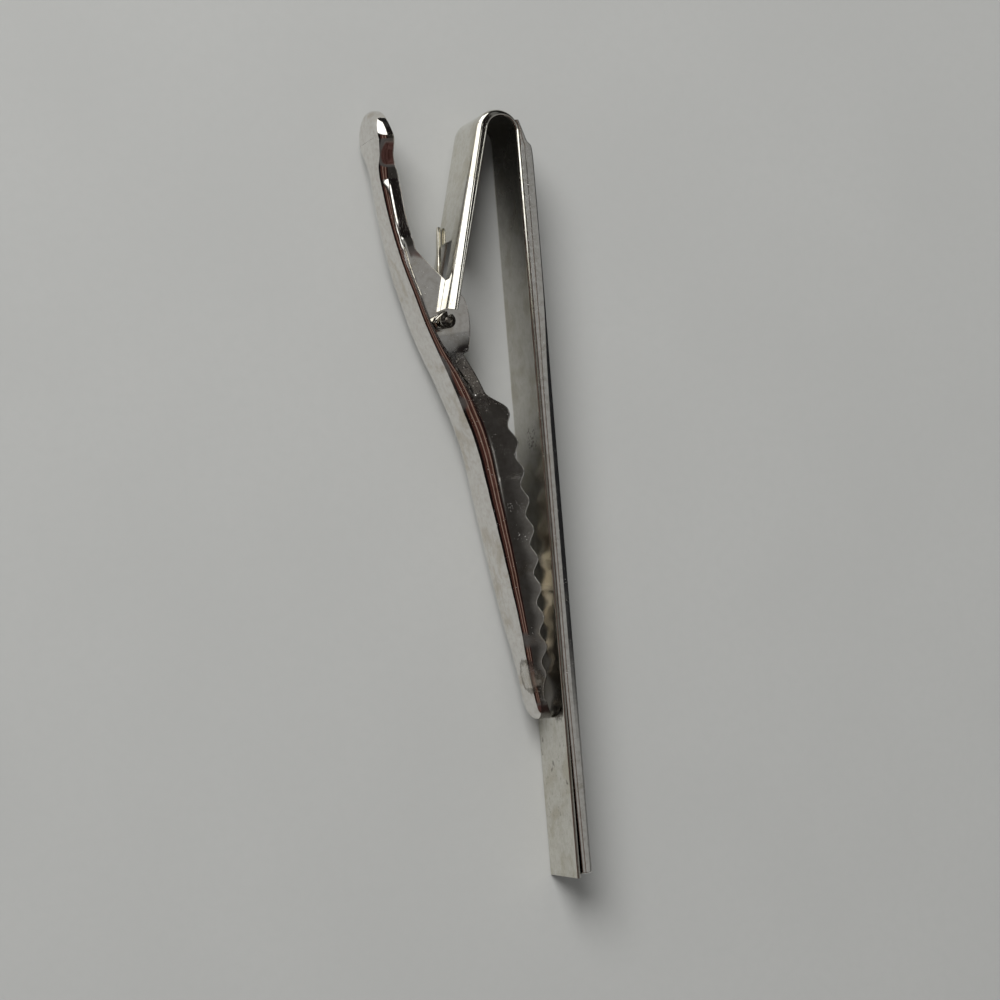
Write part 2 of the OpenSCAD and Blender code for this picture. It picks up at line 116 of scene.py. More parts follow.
PAD_RUN = LEVER_HALF * 0.9
MID_X = (STRIP_T + BAR_H - (BACK_ROOT + THUMB_THROW - PIN[0])) / 2
MID_Y = max(THUMB_Y, BEND_Y + BEND_R) / 2


def place(x, y, z):
    """A drawn point in mm as a point of the part's frame in metres."""
    return ((x - MID_X) * MM, (y - MID_Y) * MM, z * MM)


def mix(a, b, t):
    return a + (b - a) * t


def smooth(t):
    c = min(max(t, 0.0), 1.0)
    return c * c * (3 - 2 * c)


def quarter(n):
    """The angles of a quarter turn in n steps, both ends included."""
    return [math.pi / 2 * k / n for k in range(n + 1)]


def unit(v):
    size = math.sqrt(sum(c * c for c in v))
    return tuple(c / size for c in v)


def curve(table, s):
    """A smooth curve through the rows of a table, at the place s."""
    n = len(table)
    k = max([i if table[i][0] <= s else 0 for i in range(n - 1)])
    a, b, c, d = table[max(k - 1, 0)], table[k], table[k + 1], table[min(k + 2, n - 1)]
    run = c[0] - b[0]
    t = min(max((s - b[0]) / run, 0.0), 1.0)
    m = (c[1] - a[1]) / (c[0] - a[0]) * run
    e = (d[1] - b[1]) / (d[0] - b[0]) * run
    return ((2 * t ** 3 - 3 * t * t + 1) * b[1] + (t ** 3 - 2 * t * t + t) * m
            + (3 * t * t - 2 * t ** 3) * c[1] + (t ** 3 - t * t) * e)


# Meshes

SHARP_FROM = 35.0
SAME_POINT, NO_LENGTH = 1e-8, 1e-9


def new_piece(name, verts, faces, body, replaces=(), layers=None):
    """A mesh of points in mm, with its shading layers, that rides on a body and stands for some nodes."""
    mesh = bpy.data.meshes.new(name)
    mesh.from_pydata([place(*v) for v in verts], [], faces)
    for layer, values in (layers or {}).items():
        attribute = mesh.attributes.new(layer, "FLOAT", "POINT")
        attribute.data.foreach_set("value", values)
    bm = bmesh.new()
    bm.from_mesh(mesh)
    bmesh.ops.remove_doubles(bm, verts=bm.verts, dist=SAME_POINT)
    bmesh.ops.dissolve_degenerate(bm, edges=bm.edges, dist=NO_LENGTH)
    bmesh.ops.recalc_face_normals(bm, faces=bm.faces)
    bm.to_mesh(mesh)
    bm.free()
    mesh.shade_smooth()
    mesh.set_sharp_from_angle(angle=math.radians(SHARP_FROM))
    piece = bpy.data.objects.new(name, mesh)
    bpy.context.scene.collection.objects.link(piece)
    if body:
        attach(piece, body)
    if replaces:
        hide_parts(*replaces)
    return piece


def tube(rows, keep=lambda r, c: True):
    """Faces of a tube of points, given as the closed rows round it."""
    n = len(rows[0])
    faces = []
    for r in range(len(rows) - 1):
        for c in range(n):
            if keep(r, c):
                c2 = (c + 1) % n
                faces.append((r * n + c, r * n + c2, (r + 1) * n + c2, (r + 1) * n + c))
    return faces


def cap(rows, r):
    """The face that closes a tube at one of its rows."""
    n = len(rows[0])
    return tuple(r * n + c for c in range(n))


def all_points(rows):
    return [point for row in rows for point in row]


# The lever

# Each as (share of the way from tip to pin, or from pin to thumb's end; share of the throw, width or height)
JAW_BACK = [[0, 0], [0.18, 0.128], [0.37, 0.279], [0.55, 0.418], [0.69, 0.534], [0.81, 0.704],
            [0.92, 0.876]]
NECK_BACK = [[0, 0], [0.115, 0.197], [0.25, 0.43], [0.4, 0.63], [0.55, 0.782], [0.72, 0.913],
             [0.88, 0.99], [1, 1]]
JAW_WIDTH = [[0, 0.56], [0.11, 0.57], [0.17, 0.67], [0.25, 0.82], [0.34, 0.917], [0.43, 0.966],
             [0.55, 0.966], [0.69, 0.93], [0.82, 0.862], [0.95, 0.793]]
NECK_WIDTH = [[0.152, 0.731], [0.35, 0.66], [0.55, 0.56], [0.72, 0.535], [0.82, 0.51], [0.857, 0.5],
              [0.885, 0.6], [0.918, 0.76], [0.956, 0.89], [0.98, 0.95], [1, 0.99], [1.04, 1]]
JAW_WALL = [[0, 0], [0.07, 0], [0.125, 0.26], [0.26, 0.45], [0.4, 0.655], [0.55, 0.815], [0.69, 0.93],
            [0.77, 1]]
UPPER_WALL = [[0.4, ROOT_H], [0.68, NECK_H], [0.775, CORNER_H], [0.845, THUMB_H],
              [0.92, (THUMB_H + PAD_END_H) / 2], [1, PAD_END_H]]
WAIST_SHARE = 0.6
CREASE_RUN = EAR_W * 0.4
UPPER_CREASE = PIN[1] + EAR_TOP * 1.7
LOWER_CREASE, LOWER_SLOPE = PIN[1] - EAR_LOW / 2, -0.05

BACK_CURVE = ([[mix(TIP_Y, PIN[1], a), mix(-TIP_DEPTH, PIN[0] - BACK_ROOT, b)] for a, b in JAW_BACK]
              + [[mix(PIN[1], THUMB_Y, a), PIN[0] - BACK_ROOT - THUMB_THROW * b] for a, b in NECK_BACK])
WIDTH_CURVE = ([[mix(TIP_Y, PIN[1], a), b * LEVER_HALF] for a, b in JAW_WIDTH]
               + [[mix(PIN[1], THUMB_Y - PAD_RUN, a), b * LEVER_HALF] for a, b in NECK_WIDTH])
CREST_CURVE = [[mix(TIP_Y, PIN[1], a), mix(TIP_WALL_H, JAW_WALL_H, b)] for a, b in JAW_WALL]
UPPER_CURVE = ([[FIRST_Y, WAIST_H], [mix(FIRST_Y, PIN[1], WAIST_SHARE), WAIST_H]]
               + [[mix(PIN[1], THUMB_Y, a), b] for a, b in UPPER_WALL])
TIP_HALF = JAW_WIDTH[0][1] * LEVER_HALF
# By the place along the lever, in mm: how far the jaw is drawn in, the outer radius of the bend between
# back and wall, and how far the wall's face is turned to the back, in degrees, at the line that ends the
# bend, just above it, and at the rim
DRAWN_IN = [[12, 0], [15, 0.05], [21, 0.12], [25, 0.22], [33, 0.22], [37, 0.12], [41, 0.02], [44, 0],
            [64, 0]]
BEND_CURVE = [[13, 0.5], [16, 0.5], [19, 0.6], [22.4, 0.7], [25, 0.85], [28, 0.97], [31.5, 1.12],
              [35, 1.28], [37.5, 1.36], [39.5, 1.32], [41.3, 1.12], [43, 0.84], [44.7, 0.64],
              [48, 0.55], [52, 0.55], [56, 0.68], [59, 0.85], [63.3, 0.9]]
LINE_TURN = [[13, 9], [24, 10], [29, 8], [32, 2.5], [35, 2.5], [37.5, 9], [52.3, 9], [53.2, 5],
             [56.8, 4.8], [57.7, 9], [63, 9]]
LOW_TURN = [[13, 9], [24, 9.5], [29, 9], [32, 8.5], [40, 8.5], [41.5, 8.5], [43, 1], [45.5, 1], [50, 1],
            [52, 8], [63, 8]]
RIM_TURN = [[13, 6], [24, 6], [28, 6], [31, 7], [36, 8], [42, 9], [43.3, 8], [44.8, 0.5], [50, 0.3],
            [52, 7], [53, 8], [63, 8]]
# The width of that line in the jaw and in the neck, which starts at NECK_FROM
LINE_RUN, NECK_LINE_RUN, NECK_FROM, NECK_BLEND = 0.1, 0.15, 50, 2
BEND_SHARE = 0.62
# How far the ears' creases run out below and above, and the least run of the step between wall and ear
CREASE_OUT, STEP_RUN = (5.0, 1.6), 0.3
# Below SOFT_STEP the step is soft at both ends, above it only at the ear
SOFT_STEP, SOFT_STEP_RUN = PIN[1] - 1.2, 0.6
EVEN_RUN, PAD_EVEN_RUN, PAD_EVEN_FROM, PAD_EVEN_BLEND = 0.35, 0.9, 6, 3
LEVER_EDGE_R, INNER_BEND_R = 0.1, 0.12
# Rows close under the rounded rim, which keep its shading off the wall, and how the rows crowd to the bend
RIM_ROWS, WALL_CROWDS = (0.02, 0.06), 1.4
# The share of the half width from the middle at which the walls' turn is in full
SIDE_SHARE = 0.35
# Where the band of painted shade along the bend's crease by the ears sits above the bend's line, and its half
# width
CREASE_SHADE_RISE, CREASE_SHADE_HALF = 0.05, 0.15


def back_x(y):
    return curve(BACK_CURVE, y)


def half_w(y):
    """Half the width at y, evened out over a short run, and a little drawn in along the jaw."""
    wider = smooth((y - PIN[1] - PAD_EVEN_FROM) / PAD_EVEN_BLEND)
    run = EVEN_RUN + (PAD_EVEN_RUN - EVEN_RUN) * wider
    even = (curve(WIDTH_CURVE, y - run) + 2 * curve(WIDTH_CURVE, y) + curve(WIDTH_CURVE, y + run)) / 4
    return even - curve(DRAWN_IN, y)


def ear_h(y):
    """Height of the ear's rim over the back at y, under its round front and its slant top."""
    if y <= PIN[1] - EAR_LOW:
        return 0.0
    arc = PIN[0] + EAR_FRONT - EAR_EDGE_R + math.sqrt(max(EAR_EDGE_R ** 2 - (y - PIN[1]) ** 2, 0))
    slant = PIN[0] + EAR_TOP * math.sqrt(2) - (y - PIN[1])
    return min(arc, slant) - back_x(y)


def ear_zone(y, deeper):
    """1 between the ears' creases, falling to 0 past them; deeper is the height above the step."""
    low, up = CREASE_OUT
    above = y - LOWER_CREASE + deeper * LOWER_SLOPE
    below = UPPER_CREASE - y
    return (smooth((above + CREASE_RUN / 2 + low) / (CREASE_RUN + low))
            * smooth((below + CREASE_RUN / 2 + up) / (CREASE_RUN + up)))


def scallop(y):
    """How far the rim dips at y for the teeth."""
    if LAST_Y < y < FIRST_Y:
        return TOOTH_D / 2 * (1 - math.cos(2 * math.pi * (FIRST_Y - y) / TOOTH_PITCH))
    return 0.0


def wall_h(y):
    lower = curve(CREST_CURVE, y) - scallop(y)
    upper = max(curve(UPPER_CURVE, y), ear_h(y))
    return mix(lower, upper, smooth((y - FIRST_Y - TOOTH_D / 2) / SHOULDER_RUN))


def rim_h(y, w):
    """Height of the rim at a point of the outline: the closed tip is lower in its middle."""
    if y < TIP_Y + TIP_DEPTH:
        return mix(TIP_DEPTH - TIP_GAP, TIP_WALL_H, (w / TIP_HALF) ** 2)
    return wall_h(y)


def bend_radius(y, rim):
    return min(curve(BEND_CURVE, y), rim * BEND_SHARE)


def step_in(y, h, rim):
    """How far the wall has come in at a depth, for the ears."""
    start = bend_radius(y, rim)
    top = min(max(EAR_STEP_H, start + STEP_RUN), mix(start, rim, 0.5))
    t = min(max((h - start) / max(top - start, 1e-6), 0.0), 1.0)
    zone = ear_zone(y, max(h - EAR_STEP_H, 0.0))
    turn_in = mix(smooth(t), 1 - (1 - t) ** 2, smooth((y - SOFT_STEP) / SOFT_STEP_RUN))
    return (half_w(y) - EAR_HALF) * zone * turn_in


def splay_of(y, rim, depths):
    """How far in the wall is at each depth, from the slow turn of its face; none halfway up."""
    radius = bend_radius(y, rim)
    line, low, edge = curve(LINE_TURN, y), curve(LOW_TURN, y), curve(RIM_TURN, y)
    line_run = mix(LINE_RUN, NECK_LINE_RUN, smooth((y - NECK_FROM) / NECK_BLEND))

    def slope(h):
        t = smooth((h - radius) / max(rim - radius, 0.01))
        dip = math.exp(-((h - radius) / line_run) ** 2)
        return math.tan(math.radians(mix(low, edge, t) - (low - line) * dip))

    steps = 60
    sums = [0.0]
    for k in range(steps):
        sums.append(sums[-1] + slope(rim * (k + 0.5) / steps) * rim / steps)

    def total(h):
        place_in = min(max(h / rim, 0.0), 1.0) * steps
        k = min(int(place_in), steps - 1)
        return mix(sums[k], sums[k + 1], place_in - k)

    middle = total(rim / 2)
    return [middle - total(h) for h in depths]


def lever_outline():
    """The outline seen from the back, as (y, half width), from the tip to the thumb's end."""
    tip_n, pad_n = 14, 20
    run = TOOTH_PITCH / 14
    tip_half = half_w(TIP_Y)
    points = [(TIP_Y + TIP_DEPTH * (1 - math.cos(a)), tip_half * math.sin(a)) for a in quarter(tip_n)[:-1]]
    start, end = TIP_Y + TIP_DEPTH, THUMB_Y - PAD_RUN
    n = round((end - start) / run)
    points += [(y, half_w(y)) for y in (mix(start, end, i / n) for i in range(n))]
    pad_half = half_w(end)
    points += [(end + PAD_RUN * math.sin(a), pad_half * math.cos(a)) for a in quarter(pad_n)]
    return points


def make_lever():
    """One sheet: an outer and an inner skin of columns down the walls, joined at the rim."""
    side = lever_outline()
    side_n = len(side) - 1
    plan = side + [(y, -w) for y, w in side[side_n - 1:0:-1]]
    n = len(plan)
    inward = []
    for i in range(n):
        dy = plan[(i + 1) % n][0] - plan[i - 1][0]
        dw = plan[(i + 1) % n][1] - plan[i - 1][1]
        size = math.hypot(dy, dw)
        inward.append((dw / size, -dy / size))
    edge_n, bend_n, wall_n, back_n = 4, 14, 18, 12

    def column(i, inner):
        """Points down the wall and round the bend, on the outer or the inner skin, as (x, y, z)."""
        y0, w0 = plan[i]
        hand = 1 if w0 > 0 else -1
        rim = rim_h(y0, w0)
        off = LEVER_T if inner else 0.0
        bend = bend_radius(y0, rim)
        radius = max(bend - off, INNER_BEND_R)
        depths = [(rim - LEVER_EDGE_R * (1 - math.cos(a)), LEVER_EDGE_R * (1 - math.sin(a)))
                  for a in quarter(edge_n)]
        depths = [(h, LEVER_T - e if inner else e) for h, e in depths]
        depths += [(rim - LEVER_EDGE_R - d, off) for d in RIM_ROWS]
        wall_end = rim - LEVER_EDGE_R - RIM_ROWS[-1]
        for k in range(1, wall_n + 1):
            depths.append((bend + (wall_end - bend) * (1 - k / wall_n) ** WALL_CROWDS, off))
        for a in quarter(bend_n)[1:]:
            depths.append((off + radius - radius * math.sin(a), off + radius - radius * math.cos(a)))
        splay = splay_of(y0, rim, [h for h, inset in depths])
        out = []
        for (h, inset), wide in zip(depths, splay):
            y = y0 + inward[i][0] * inset
            w = w0 + inward[i][1] * inset
            lean = step_in(y0, h, rim) + wide if abs(w0) > 1e-6 else 0.0
            at_side = smooth(abs(w0) / (SIDE_SHARE * LEVER_HALF))
            out.append((back_x(y) + h, y, MID_Z + w - hand * lean * at_side))
        return out

    verts, faces, side_wall, crease_shade_mask = [], [], [], []
    for inner in (False, True):
        base = len(verts)
        columns = [column(i, inner) for i in range(n)]
        depth_n = len(columns[0])
        for (y0, w0), col in zip(plan, columns):
            verts += col
            # Painted shade: a band along the crease between back and wall by the ears, which the material
            # darkens
            crest = back_x(y0) + bend_radius(y0, rim_h(y0, w0)) + CREASE_SHADE_RISE
            crease_shade_mask += [ear_zone(y0, 0.0) * (1 - smooth((abs(x - crest) - CREASE_SHADE_HALF) / CREASE_SHADE_HALF))
                       for x, y, z in col]
            side_wall += [0.0 if inner or k > depth_n - bend_n else 1.0 for k in range(depth_n)]
        for i in range(n):
            j = (i + 1) % n
            for k in range(depth_n - 1):
                faces.append((base + i * depth_n + k, base + j * depth_n + k,
                              base + j * depth_n + k + 1, base + i * depth_n + k + 1))
        fill = len(verts)
        for i in range(side_n + 1):
            a, b = columns[i][-1], columns[-i % n][-1]
            for k in range(back_n + 1):
                t = k / back_n
                verts.append(tuple(mix(a[m], b[m], t) for m in range(3)))
                side_wall.append(0.0)
                crease_shade_mask.append(0.0)
        for i in range(side_n):
            for k in range(back_n):
                p = fill + i * (back_n + 1) + k
                faces.append((p, p + 1, p + back_n + 2, p + back_n + 1))
        if inner:
            for i in range(n):
                j = (i + 1) % n
                faces.append((i * depth_n, j * depth_n, base + j * depth_n, base + i * depth_n))
    return new_piece("lever_sheet", verts, faces, "lever", ["jaw_lever"],
                     layers={"wall": side_wall, "crease_shade": crease_shade_mask})


# The strip, bend and arm

STRIP_EDGE_R = 0.09
# The arm's outer corner radius at the bend's top, the arm's start and its end
CORNER_TOP, CORNER_START, CORNER_END = 0.3, 0.45, 0.8
# The wall's outward turn in degrees, and its upright facet and rounded rim
WALL_TURN, WALL_FACET, WALL_EDGE = 9.0, 0.06, 0.06
# The lean of the flat strip's side, in degrees
RIM_LEAN = 6.0
CORNER_SHARE, INNER_FILLET = 0.88, 0.12
SLOT_TOP = ARM_LEN - SLOT_LEN
# Where round the bend the wall takes up its turn, and the flat strip's side loses its lean, in radians
TURN_FROM, TURN_RUN, LEAN_RUN = 0.5, 0.8, 0.4


def wall_depth(angle):
    """Depth of the side wall at an angle round the bend, from the bar's side."""
    fade, turn = math.radians(FADE_ANGLE), math.pi - TILT - math.radians(FADE_ANGLE)
    if angle <= fade:
        return STRIP_T
    shift = (ARM_WALL_D - STRIP_T) / (1 - math.cos(turn))
    a = angle - fade
    reach = BEND_R - STRIP_T - shift
    return BEND_R - (shift * math.cos(a) + math.sqrt(max(reach ** 2 - (shift * math.sin(a)) ** 2, 0.0)))


def strip_section(depth, corner, edge, turned, lean):
    """Half of the cross-section as (depth from the outer face, distance in from the side)."""
    slot = (BAR_W - SLOT_W) / 2
    corner = min(corner, depth * CORNER_SHARE)
    edge = mix(edge, min(WALL_EDGE, (depth - corner) * 0.5), turned)
    facet = min(WALL_FACET, (depth - corner) * 0.5) * turned
    fall = math.tan(math.radians(WALL_TURN)) * turned
    flat_end = max(depth - edge, corner + 0.01)
    facet_at = max(flat_end - facet, corner + 0.005)
    start = fall * (facet_at - corner)
    points = [(0.0, MID_Z), (0.0, slot), (0.0, mix(slot, corner + start, 0.5))]
    points += [(corner * (1 - math.cos(a)), start + corner * (1 - math.sin(a))) for a in quarter(10)]
    points += [(mix(corner, facet_at, t), start * (1 - t)) for t in (0.12, 0.5, 0.9)]
    flat = flat_end - corner
    lean = math.tan(math.radians(RIM_LEAN)) * lean * flat
    points = [(d, w + lean * max(d - corner, 0.0) / flat) for d, w in points]
    points += [(mix(facet_at, flat_end, t), lean * mix(facet_at - corner, flat, t) / flat)
               for t in (0.08, 0.9, 1.0)]
    points += [(depth - edge * (1 - math.cos(a)), lean + edge * (1 - math.sin(a)))
               for a in reversed(quarter(3)[:-1])]
    inner = STRIP_T
    back = max(depth - edge, inner)
    points += [(depth, inner - edge * 0.5), (back, inner)]
    fillet = min(INNER_FILLET, depth - inner)
    points += [(inner + fillet, inner), (inner + fillet * 0.3, inner + fillet * 0.3), (inner, inner + fillet)]
    points += [(inner, mix(inner + fillet, slot, 0.5)), (inner, slot), (inner, MID_Z)]
    return points


def make_strip():
    """The strip, the bend and the arm as one tube of sections, with the slot cut through the arm."""
    bar_n, bend_n, arm_n = 90, 44, 40
    arm_end = ARM_LEN - ARM_WALL_END
    stations = [("bar", BEND_Y * i / bar_n) for i in range(bar_n)]
    stations += [("bend", (math.pi - TILT) * i / bend_n) for i in range(bend_n)]
    stations += [("arm", s) for s in sorted([arm_end * i / arm_n for i in range(arm_n + 1)]
                                            + [SLOT_TOP, SLOT_TOP + 0.02])]
    rows, slotted, inside = [], [], []
    for kind, s in stations:
        if kind == "bar":
            origin, inward = (STRIP_T, s), (-1.0, 0.0)
            depth, corner, turned = STRIP_T, STRIP_EDGE_R, 0.0
        elif kind == "bend":
            inward = (-math.cos(s), -math.sin(s))
            origin = (BEND_C[0] - inward[0] * BEND_R, BEND_C[1] - inward[1] * BEND_R)
            depth = wall_depth(s)
            corner = (mix(STRIP_EDGE_R, CORNER_TOP, smooth(s / (math.pi / 2))) if s < math.pi / 2
                      else mix(CORNER_TOP, CORNER_START, (s - math.pi / 2) / (math.pi / 2 - TILT)))
            turned = smooth((s - TURN_FROM) / TURN_RUN)
        else:
            inward = ARM_IN
            origin = (ARM_START[0] + ARM_DIR[0] * s, ARM_START[1] + ARM_DIR[1] * s)
            depth, corner, turned = ARM_WALL_D, mix(CORNER_START, CORNER_END, s / arm_end), 1.0
        lean = 1.0 if kind == "bar" else (1 - smooth(s / LEAN_RUN) if kind == "bend" else 0.0)
        half = strip_section(depth, corner, STRIP_EDGE_R, turned, lean)
        whole = [(d, BAR_W - w) for d, w in half] + [(d, w) for d, w in reversed(half[1:-1])]
        rows.append([(origin[0] + inward[0] * d, origin[1] + inward[1] * d, z) for d, z in whole])
        slotted.append(kind == "arm" and s > SLOT_TOP + 0.01)
        inside += [1.0 if d > STRIP_T * 0.9 and STRIP_T * 0.9 < w < BAR_W - STRIP_T * 0.9 else 0.0
                   for d, w in whole]
    count, half_n = len(rows[0]), len(half)
    # The four points that bound the slot, on the outer and the inner face
    near_out, near_in = 1, half_n - 2
    far_in, far_out = half_n, count - 1
    open_columns = {0, far_out, near_in, half_n - 1}

    def keep(r, c):
        return not (slotted[r] and slotted[r + 1] and c in open_columns)

    faces = tube(rows, keep)
    top = slotted.index(True)
    for r in range(top, len(rows) - 1):
        a, b = r * count, (r + 1) * count
        faces.append((a + near_out, b + near_out, b + near_in, a + near_in))
        faces.append((a + far_out, b + far_out, b + far_in, a + far_in))
    a = top * count
    faces.append((a + near_out, a, a + half_n - 1, a + near_in))
    faces.append((a, a + far_out, a + far_in, a + half_n - 1))
    # The free end, and the ends of the tines inside the knuckles
    faces.append(cap(rows, 0))
    last = (len(rows) - 1) * count
    faces.append(tuple(last + c for c in range(near_out, near_in + 1)))
    faces.append(tuple(last + c for c in range(far_in, far_out + 1)))
    return new_piece("strip_and_arm", all_points(rows), faces, "bar_and_arm", ["clip_strip"],
                     layers={"inside": inside})


KNUCKLE_EDGE, ROLL_LAG, ROLL_SWEEP, ROLL_TIGHTENS = 0.07, 0.35, math.radians(318), 0.12


def make_knuckles():
    """Each tine's end rolled round the pin, with the slit that its edge leaves."""
    pieces = []
    outer_r, inner_r = KNUCKLE_D / 2, PIN_D / 2
    tine = (BAR_W - SLOT_W) / 2
    arm_back = math.atan2(-ARM_DIR[1], -ARM_DIR[0])
    steps = 44
    edge = KNUCKLE_EDGE
    for name, z0, z1 in (("knuckle_far", 0.0, tine), ("knuckle_near", BAR_W - tine, BAR_W)):
        profile = [(z0, edge), (z0 + edge * 0.3, edge * 0.3), (z0 + edge, 0.0),
                   (z1 - edge, 0.0), (z1 - edge * 0.3, edge * 0.3), (z1, edge)]
        rows = []
        for i in range(steps + 1):
            t = i / steps
            a = arm_back + ROLL_LAG + ROLL_SWEEP * t
            # The roll tightens a little towards its edge
            out = outer_r - ROLL_TIGHTENS * smooth((t - 0.55) / 0.45)
            row = [(out - e, z) for z, e in profile] + [(inner_r + e * 0.5, z) for z, e in reversed(profile)]
            rows.append([(PIN[0] + r * math.cos(a), PIN[1] + r * math.sin(a), z) for r, z in row])
        verts = all_points(rows)
        faces = tube(rows) + [cap(rows, 0), cap(rows, steps)]
        ends = [1.0 if min(v[2] - z0, z1 - v[2]) < edge * 0.5 else 0.0 for v in verts]
        pieces.append(new_piece(name, verts, faces, "bar_and_arm", layers={"soot": ends}))
    return pieces


# The front bar

BAR_TOP = STRIP_T + BAR_H
BAR_END = BAR_START + BAR_LEN
BAR_END_PROFILE = [[1, 2.1], [0.97, 1.3], [0.87, 1], [0.55, 0.8], [0.43, 0.62], [0, 0]]
# The run of the bevelled corner by the place along the bar, its turn in degrees and its round edge
CORNER_RUN = [[0, 0.5], [36, 0.5], [42, 0.38], [46, 0.2], [50, 0.12], [64, 0.12]]
CORNER_TURN, CORNER_EDGE = 32.0, 0.06
RIM_R, END_R = 0.05, 0.16
# The side's tilt in degrees, and the groove's height, as a share of the bar's, and its depth
SIDE_TURN = 3.0
GROOVE_AT, GROOVE_D = [[0, 0.25], [39, 0.25], [46, 0.36], [64, 0.36]], 0.045
CRIMP_RUN, INNER_CUT = 4.6, 0.25


def bar_top(y):
    """Height of the front face at y: the end slopes down over the bend."""
    places = [[BAR_END - BAR_SLOPE * row[1], mix(STRIP_T, BAR_TOP, row[0])] for row in BAR_END_PROFILE]
    if y <= places[0][0]:
        return BAR_TOP
    return curve([[places[0][0] - 3, BAR_TOP]] + places, y)


def bar_low(y):
    """Height of the rims at y: on the strip, on the bend's round, or lifted off at the free end."""
    if y > BEND_Y:
        return BEND_C[0] + math.sqrt(max(BEND_R ** 2 - (y - BEND_C[1]) ** 2, 0.0))
    return STRIP_T + END_GAP * max(0.0, 1 - (y - BAR_START) / END_GAP_RUN)


def bar_section(y, shrink):
    """Closed outline at y, as (x, z), from the near rim over the front to the far rim and back inside."""
    low, top = bar_low(y), bar_top(y) - shrink
    height = max(top - low, 0.04)
    corner = min(curve(CORNER_RUN, y), height * 0.6)
    edge = min(CORNER_EDGE, height * 0.1)
    rim_r = min(RIM_R, height * 0.2)
    groove = min(curve(GROOVE_AT, y) * BAR_H, height * 0.4)
    depth = min(GROOVE_D, height * 0.1)
    # The rim's round and the groove, the bevelled corner and its round edge, then the side's tilt
    lip, floor_w = depth * 0.15, depth * 0.85
    half = [(low, SHELL_T), (low, rim_r), (low + rim_r * 0.3, rim_r * 0.3), (low + rim_r, 0.0),
            (low + rim_r * 1.3, 0.0), (low + groove - depth, 0.0), (low + groove - lip, floor_w),
            (low + groove + lip, floor_w), (low + groove + depth, 0.0)]
    start = max(top - corner, low + groove + depth + 0.01)
    corner = top - start - edge
    turn = math.tan(math.radians(CORNER_TURN)) / 2
    corner_n, edge_n = 7, 3
    for k in range(corner_n + 1):
        half.append((start + corner * k / corner_n, corner * turn * (k / corner_n) ** 2))
    for k in range(1, edge_n + 1):
        a = math.radians(mix(CORNER_TURN, 90, k / edge_n))
        half.append((top - edge * (1 - math.sin(a)), corner * turn + edge * (1 - math.cos(a))))
    fall = math.tan(math.radians(SIDE_TURN))
    half = [(x, w + shrink + fall * max(start - x, 0.0)) for x, w in half]
    half += [(top, MID_Z * 0.4), (top, MID_Z * 0.75)]
    outer = [(x, BAR_W - w) for x, w in half] + [(x, w) for x, w in reversed(half)]
    inner_top = max(top - SHELL_T, low + 0.01)
    inner = [(inner_top, SHELL_T + INNER_CUT + shrink),
             (inner_top - min(INNER_CUT, height * 0.3), SHELL_T + shrink)]
    return outer + [(x, w) for x, w in reversed(inner)] + [(x, BAR_W - w) for x, w in inner]


def make_bar():
    """The shell as a tube of sections: a round free end, the even length, and the slope over the bend."""
    even_n, crimp_n = 80, 46
    even_end = BAR_END - CRIMP_RUN
    places = [(BAR_START + END_R * (1 - math.cos(a)), END_R * (1 - math.sin(a))) for a in quarter(4)]
    places += [(mix(BAR_START + END_R, even_end, k / even_n), 0.0) for k in range(1, even_n + 1)]
    places += [(mix(even_end, BAR_END, k / crimp_n), 0.0) for k in range(1, crimp_n + 1)]
    rows = [[(x, y, z) for x, z in bar_section(y, s)] for y, s in places]
    inner_n = 4
    # The wall that closes the free end, then the crimped end
    faces = tube(rows) + [tuple(range(1, len(rows[0]) - inner_n - 1)), cap(rows, len(rows) - 1)]
    return new_piece("front_bar_shell", all_points(rows), faces, "bar_and_arm", ["front_bar"])


# Pin and spring

PIN_DOME, PIN_SIDES, WIRE_SIDES = 0.12, 40, 20


def make_pin():
    r, dome = PIN_D / 2, PIN_DOME
    profile = [(0.0, 0.02), (r * 0.55, 0.03), (r * 0.8, 0.06), (r * 0.95, dome * 0.8), (r, dome + 0.04)]
    profile += [(r, mix(dome, BAR_W - dome, k / 6)) for k in range(1, 6)]
    profile += [(rr, BAR_W - z) for rr, z in reversed(profile[:5])]
    turns = [2 * math.pi * k / PIN_SIDES for k in range(PIN_SIDES)]
    rows = [[(PIN[0] + rr * math.cos(a), PIN[1] + rr * math.sin(a), z) for a in turns] for rr, z in profile]
    return new_piece("hinge_pin", all_points(rows), tube(rows), "bar_and_arm", ["pivot_pin"])


